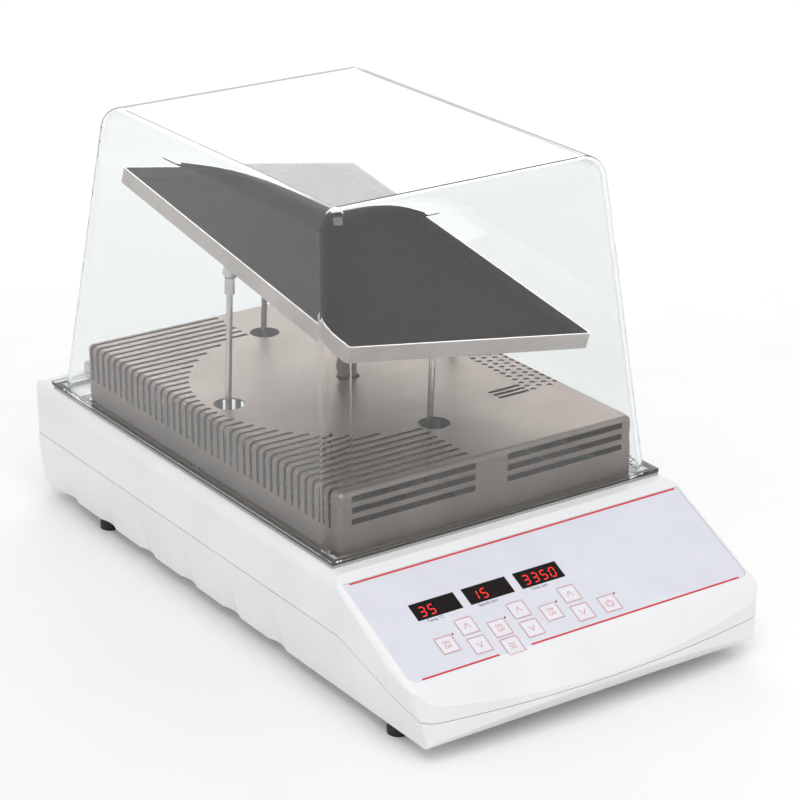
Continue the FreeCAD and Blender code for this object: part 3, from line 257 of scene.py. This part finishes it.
finishes = {
    "whiteAbs": (palePlastic(mouldedAbs), ("upper_housing", "lower_housing")),
    "film": (palePlastic(velvetFilm), ("control_overlay",)),
    "keyFilm": (palePlastic(domedFilm), tuple(name for name in nodes if name.startswith("key_"))),
    "window": (tintedWindow(), ("display_modules",)),
    "acrylic": (clearAcrylic(acrylic), ("lid",)),
    # painted shade: the chamber cover is the tray's stainless painted darker, standing in for the dim studio seen in
    # its top
    "shadedCoverSteel": (brushedSteel("brushedSteelPaintedShade", "#968A83", "#81766F", 0, 0.45), ("chamber_cover",)),
    "traySteel": (brushedSteel("brushedTraySteel", "#C6BEBA", "#A8A09C", 0, 0.30),
                  ("tray", "hinge_brackets", "lid_straps", "heater_element")),
    "groundSteel": (turnedMetal("groundSteel", "#CFCDC9", "#AAA7A3", 0.18), tuple(
        name for name in nodes if name.startswith(("rod_", "ball_")) or name in (
            "centre_post", "pivot_ball", "hinge_pins", "crank_bearings", "swash_bearing", "case_screws",
            "temperature_probe", "inlet_pins"))),
    "aluminium": (turnedMetal("machinedAluminium", "#D2D3D4", "#B4B6B8", 0.3), (
        "swash_plate", "crank_hub", "crank_pulley", "motor_pulley", "tray_hub", "tray_sockets")),
    "zinc": (brushedSteel("zincPlatedSteel", "#B9BAB8", "#999B9C", 1, 0.4),
             ("chassis_plate", "motor_bracket")),
    "matRubber": (dullMoulding("blackMatRubber", "#161617", "#0E0E0F", 0.7, 1.4, 0.02), ("tray_mat",)),
    "rubber": (dullMoulding("blackMouldedRubber", "#1B1B1C", "#0F0F10", 0.62, 0.9), ("feet", "drive_belt")),
    "seal": (dullMoulding("greySiliconeSeal", "#B4B1AE", "#A09D9A", 0.6, 0.9), ("lid_gasket",)),
    "fleece": (filterFleece(), ("air_filter",)),
    "blackPlastic": (dullMoulding("blackMouldedNylon", "#232324", "#161617", 0.5, 0.7), (
        "fan_housing", "fan_rotor", "power_inlet", "power_switch", "switch_rocker", "dome_switches",
        "board_components")),
    "enamel": (dullMoulding("blackMotorEnamel", "#2A2A2C", "#1E1E20", 0.35, 2.5), ("motor",)),
    "board": (dullMoulding("greenCircuitLaminate", "#1F6B3E", "#174F2F", 0.4, 4.0),
              ("display_board", "main_board")),
}
for material, names in finishes.values():
    for name in names:
        nodes[name].data.materials.clear()
        nodes[name].data.materials.append(material)
redInk = screenInk("redScreenInk", "#D9363C", "#CC2A32")
paleRedInk = screenInk("paleRedScreenInk", "#DE6E74", "#D65C64")
darkInk = screenInk("darkScreenInk", "#3A3A40", "#2C2C31")
litRed = litSegment("litRedSegment", "#E8302C", 0.7)
# the unlit segments get a faint painted glow as well
unlitPaintedGlow = litSegment("unlitSegmentPaintedGlow", "#120505", 0.02)
bare = [name for name in nodes if not any(name in names for material, names in finishes.values())]
print("finishes:", len(finishes), "nodes without one:", bare)

# The panel's own axes, from a key's slide: out of the face, and down the slope
press = next(j for j in frame["joints"] if j["name"] == "key_power_press")
outward = -np.array(press["axis"], float)
rightward = np.array([1.0, 0.0, 0.0])
downward = np.cross(rightward, outward)


def facePoint(node, thickMm):
    # the middle of a flat piece's outer face, from its box and its thickness
    low, high = (np.array(corner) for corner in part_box(node))
    return (low + high) / 2 + outward * thickMm / 2 * mm


def makePiece(name, points, faces, material, body):
    mesh = bpy.data.meshes.new(name)
    mesh.from_pydata(np.asarray(points).tolist(), [], [list(map(int, face)) for face in faces])
    mesh.materials.append(material)
    mesh.update()
    piece = bpy.data.objects.new(name, mesh)
    scene.collection.objects.link(piece)
    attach(piece, body)
    return piece


def strokes(paths, width):
    # flat ribbons: each path is offset by half the width to both sides, mitred at its corners
    points, faces = [], []
    for path in paths:
        closed = np.allclose(path[0], path[-1])
        core = np.asarray(path[:-1] if closed else path, float)
        ahead = np.roll(core, -1, 0) - core
        behind = core - np.roll(core, 1, 0)
        if not closed:
            ahead[-1] = behind[-1]
            behind[0] = ahead[0]
        ahead /= np.linalg.norm(ahead, axis=1, keepdims=True)
        behind /= np.linalg.norm(behind, axis=1, keepdims=True)
        side = np.stack([-(ahead + behind)[:, 1], (ahead + behind)[:, 0]], 1)
        side /= np.linalg.norm(side, axis=1, keepdims=True)
        reach = width / 2 / np.maximum(0.4, np.abs(side[:, 0] * -ahead[:, 1] + side[:, 1] * ahead[:, 0]))
        start = sum(len(p) for p in points)
        points.append(np.concatenate([core + side * reach[:, None], core - side * reach[:, None]]))
        count = len(core)
        here = np.arange(count if closed else count - 1)
        there = (here + 1) % count
        faces.append(np.stack([here, here + count, there + count, there], 1) + start)
    return np.concatenate(points), np.concatenate(faces)


def printed(name, flat, faces, middle, material, body, slot, liftMm=0.03):
    # ink laid on the panel: x to the right and y up the slope in millimetres, a hair above the face
    flat = np.asarray(flat) * mm
    points = middle + flat[:, :1] * rightward - flat[:, 1:2] * downward + outward * liftMm * mm
    return makePiece(name, points, faces, material, body)


def arc(radius, start, stop, count=18):
    turn = np.radians(np.linspace(start, stop, count))
    return np.stack([radius * np.cos(turn), radius * np.sin(turn)], 1)


def words(text, heightMm, at):
    # text made a flat mesh, centred on a place, in millimetres
    curve = bpy.data.curves.new("words", "FONT")
    curve.body = text
    curve.size = heightMm * 1.4
    curve.align_x = "CENTER"
    curve.align_y = "CENTER"
    holder = bpy.data.objects.new("words", curve)
    mesh = bpy.data.meshes.new_from_object(holder)
    flat = np.empty(len(mesh.vertices) * 3)
    mesh.vertices.foreach_get("co", flat)
    faces = [list(polygon.vertices) for polygon in mesh.polygons]
    bpy.data.objects.remove(holder)
    return flat.reshape(-1, 3)[:, :2] + np.asarray(at), faces


def joined(*shapes):
    points, faces, start = [], [], 0
    for shape, polygons in shapes:
        points.append(np.asarray(shape))
        faces += [[int(corner) + start for corner in polygon] for polygon in polygons]
        start += len(shape)
    return np.concatenate(points), faces


# Key printing: a thin red square and one sign each
keyPrint = {"frameMm": 18.0, "cornerMm": 1.2, "lineMm": 0.55, "signMm": 0.7, "thickMm": 2.4, "signHalf": 3.6,
            "rowStep": 2.6, "arrowHalf": 3.2, "arrowTip": 3.0, "wordMm": 3.4, "ringGap": (125, 415),
            "powerBar": (0.4, 4.6), "powerWeight": 1.2}


def keySigns(k):
    half, row, wide, tip = k["signHalf"], k["rowStep"], k["arrowHalf"], k["arrowTip"]
    bars = [np.array([(-half, y), (half, y)]) for y in (row, 0.0, -row)]
    ring = arc(half, *k["ringGap"])
    return {
        "up": strokes([np.array([(-wide, -row), (0, tip), (wide, -row)])], k["signMm"]),
        "down": strokes([np.array([(-wide, row), (0, -tip), (wide, row)])], k["signMm"]),
        "start": joined(words("ON", k["wordMm"], (0, row)), words("OFF", k["wordMm"], (0, -row))),
        "program": strokes(bars, k["signMm"]),
        "power": strokes([ring, np.array([(0, y) for y in k["powerBar"]])], k["signMm"] * k["powerWeight"])}


def squareFrame(side, corner):
    half = side / 2 - corner
    turns = [arc(corner, start, start + 90, 5) + np.array(middle) for start, middle in (
        (0, (half, half)), (90, (-half, half)), (180, (-half, -half)), (270, (half, -half)))]
    ring = np.concatenate(turns)
    return np.concatenate([ring, ring[:1]])


signs = keySigns(keyPrint)
for key in sorted(name for name in nodes if name.startswith("key_")):
    outlineShape = strokes([squareFrame(keyPrint["frameMm"], keyPrint["cornerMm"])], keyPrint["lineMm"])
    shape, faces = joined(outlineShape, signs[key.split("_")[-1]])
    printed(key + "_print", shape, faces, facePoint(key, keyPrint["thickMm"]), paleRedInk, key, "key_film")
print("key printing done")

# Overlay printing: red rules at the top and bottom edges, each from x to x at a distance down the slope
overlayPrint = {"thickMm": 0.8, "ruleMm": 2.0,
                "rules": ((-192.0, 195.0, 1.6), (-186.0, -100.0, 122.2), (-63.5, 188.0, 122.2))}
overlayFace = facePoint("control_overlay", overlayPrint["thickMm"])
overlayLow, overlayHigh = (np.array(corner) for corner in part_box("control_overlay"))
overlayRun = np.linalg.norm((overlayHigh - overlayLow)[1:]) / mm
ruleShape = strokes([np.array([(x0, overlayRun / 2 - down), (x1, overlayRun / 2 - down)])
                     for x0, x1, down in overlayPrint["rules"]], overlayPrint["ruleMm"])
printed("overlay_rules", *ruleShape, overlayFace, redInk, "base", "overlay_polyester")

# Displays: each window holds four digit places of seven segments, the lit ones show the photo's numbers
display = {"numbers": (35, 15, 3350), "units": ("Temp °C", "Speed rpm", "Time min"), "places": 4, "thickMm": 5.3,
           "windowWide": 50.0, "digitTall": 10.5, "digitWide": 5.6, "digitPitch": 10.2, "digitRise": -1.2,
           "segment": 1.35, "gap": 0.3, "slant": 0.12, "firstPlace": -15.3, "dimLiftMm": 0.02, "unitMm": 3.6,
           "unitAt": (-8.0, -12.8), "unitLiftMm": 0.05}
segmentsOf = {"0": "abcdef", "1": "bc", "2": "abdeg", "3": "abcdg", "4": "bcfg", "5": "acdfg", "6": "acdefg",
              "7": "abc", "8": "abcdefg", "9": "abcdfg", " ": ""}


def segmentShapes(d):
    # a pointed bar between two corners of the digit, shortened by the gap at both ends
    w, t = d["digitWide"] / 2, d["digitTall"] / 2
    ends = {"a": ((-w, t), (w, t)), "b": ((w, t), (w, 0)), "c": ((w, 0), (w, -t)), "d": ((-w, -t), (w, -t)),
            "e": ((-w, 0), (-w, -t)), "f": ((-w, t), (-w, 0)), "g": ((-w, 0), (w, 0))}
    bars = {}
    for letter, pair in ends.items():
        first, last = np.array(pair, float)
        way = (last - first) / np.linalg.norm(last - first)
        side = np.array([-way[1], way[0]]) * d["segment"] / 2
        first, last = first + way * d["gap"], last - way * d["gap"]
        inset = way * d["segment"] / 2
        bars[letter] = np.array([first, first + inset + side, last - inset + side, last, last - inset - side,
                                 first + inset - side])
    return bars


def makeDisplays(d):
    low, high = (np.array(corner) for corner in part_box("display_modules"))
    bars = segmentShapes(d)
    windowWide = d["windowWide"] * mm
    step = (high[0] - low[0] - windowWide) / (len(d["numbers"]) - 1)
    middle = facePoint("display_modules", d["thickMm"])
    for index, (number, unit) in enumerate(zip(d["numbers"], d["units"])):
        lit, dim = [], []
        for place, sign in enumerate(str(number).ljust(d["places"])):
            offset = np.array([d["firstPlace"] + place * d["digitPitch"], d["digitRise"]])
            for letter, bar in bars.items():
                leaned = bar + np.stack([bar[:, 1] * d["slant"], 0 * bar[:, 1]], 1) + offset
                (lit if letter in segmentsOf[sign] else dim).append((leaned, [range(6)]))
        centre = middle.copy()
        centre[0] = low[0] + windowWide / 2 + index * step
        printed("display_%d_lit" % index, *joined(*lit), centre, litRed, "base", "display_black")
        printed("display_%d_dim" % index, *joined(*dim), centre, unlitPaintedGlow, "base", "display_black", d["dimLiftMm"])
        printed("display_%d_unit" % index, *words(unit, d["unitMm"], d["unitAt"]), centre, darkInk, "base",
                "overlay_polyester", d["unitLiftMm"])


makeDisplays(display)
print("displays done")

# Small lamps beside the start and power keys: low domes, sunk a little into the film
lamp = {"radius": 1.1, "rise": 0.5, "sink": 0.1, "rings": 6, "sides": 20, "offset": (11.6, 9.2)}


def domePoints(lens):
    # a round cap: radius falls as the cosine and height grows as the sine of the same angle
    angle, turn = np.meshgrid(np.linspace(0, math.pi / 2, lens["rings"]),
                              np.linspace(0, 2 * math.pi, lens["sides"], endpoint=False), indexing="ij")
    around = lens["radius"] * np.cos(angle)
    flat = np.stack([around * np.cos(turn), around * np.sin(turn), lens["rise"] * np.sin(angle)], -1).reshape(-1, 3)
    i, j = np.meshgrid(np.arange(lens["rings"] - 1), np.arange(lens["sides"]), indexing="ij")
    k = (j + 1) % lens["sides"]
    inner, outer = i * lens["sides"], (i + 1) * lens["sides"]
    return flat, np.stack([inner + j, inner + k, outer + k, outer + j], -1).reshape(-1, 4)


def makeLamps(lens):
    cap, quads = domePoints(lens)
    lampRed = dullMoulding("redLampLens", "#7A1C1C", "#5E1414", 0.25, 2.0)
    for key in sorted(name for name in nodes if name.endswith("_start") or name == "key_power"):
        overKey = facePoint(key, keyPrint["thickMm"])
        flat = cap[:, :2] + np.array(lens["offset"])
        points = (overKey + flat[:, :1] * mm * rightward - flat[:, 1:2] * mm * downward
                  + (cap[:, 2:] - lens["sink"]) * mm * outward)
        makePiece(key.replace("key_", "lamp_"), points, quads, lampRed, "base")


makeLamps(lamp)

# Studio: pale floor that fades into a white surround, one broad soft lamp above, and one behind that lights the lid
# and case without showing in the steel
studio = {"floorDark": "#F6F6F7", "floorLight": "#FAFAFA", "floorGrainMm": 400, "floorReach": 6.0,
          "floorFade": (1.1, 2.6), "surround": 1.0, "fill": 0.74}
softboxes = {
    "overheadSoftbox": {"place": (-0.6, -1.2, 2.4), "aim": (0, 0, 0.2), "size": (1.8, 1.8), "watts": 22,
                        "glossy": True},
    "rearSoftbox": {"place": (1.5, 2.2, 1.5), "aim": (0, 0.05, 0.45), "size": (2.2, 1.2), "watts": 22,
                    "glossy": False}}


def makeFloor(s):
    reach = s["floorReach"]
    mesh = bpy.data.meshes.new("studioFloor")
    corners = [(-reach, -reach, 0), (reach, -reach, 0), (reach, reach, 0), (-reach, reach, 0)]
    mesh.from_pydata(corners, [], [(0, 1, 2, 3)])
    floor = bpy.data.objects.new("studioFloor", mesh)
    scene.collection.objects.link(floor)
    material, shader, place = startMaterial("paleStudioPaper", Roughness=0.9)
    cloud = grain(material, place, s["floorGrainMm"])
    link(material, ramp(material, cloud, ((0.3, s["floorDark"]), (0.7, s["floorLight"]))),
         shader.inputs["Base Color"])
    away = add(material, "ShaderNodeVectorMath", {0: place}, operation="LENGTH").outputs["Value"]
    near, far = s["floorFade"]
    fade = add(material, "ShaderNodeMapRange",
               {"Value": away, "From Min": near, "From Max": far}).outputs["Result"]
    clear = add(material, "ShaderNodeBsdfTransparent")
    mix = add(material, "ShaderNodeMixShader", {0: fade, 1: shader.outputs[0], 2: clear.outputs[0]})
    link(material, mix.outputs[0], material.node_tree.nodes["Material Output"].inputs["Surface"])
    mesh.materials.append(material)


def makeSurround(s):
    world = bpy.data.worlds.new("whiteSurround")
    world.use_nodes = True
    scene.world = world
    seen = add(world, "ShaderNodeBackground", {"Color": linear("#FFFFFF"), "Strength": s["surround"]})
    lit = add(world, "ShaderNodeBackground", {"Color": linear("#FFFFFF"), "Strength": s["fill"]})
    path = add(world, "ShaderNodeLightPath")
    direct = add(world, "ShaderNodeMath",
                 {0: path.outputs["Is Camera Ray"], 1: path.outputs["Is Glossy Ray"]},
                 operation="MAXIMUM").outputs[0]
    sight = add(world, "ShaderNodeMath", {0: direct, 1: path.outputs["Is Transmission Ray"]},
                operation="MAXIMUM").outputs[0]
    mix = add(world, "ShaderNodeMixShader", {0: sight, 1: lit.outputs[0], 2: seen.outputs[0]})
    output = next(n for n in world.node_tree.nodes if n.type == "OUTPUT_WORLD")
    world.node_tree.links.new(mix.outputs[0], output.inputs["Surface"])


def makeSoftbox(name, b):
    data = bpy.data.lights.new(name, "AREA")
    data.shape = "RECTANGLE"
    data.size, data.size_y = b["size"]
    data.energy = b["watts"]
    holder = bpy.data.objects.new(name, data)
    holder.location = b["place"]
    holder.rotation_euler = (Vector(b["place"]) - Vector(b["aim"])).to_track_quat("Z", "Y").to_euler()
    holder.visible_glossy = b["glossy"]
    scene.collection.objects.link(holder)


makeFloor(studio)
makeSurround(studio)
for name, softbox in softboxes.items():
    makeSoftbox(name, softbox)
print("studio done")
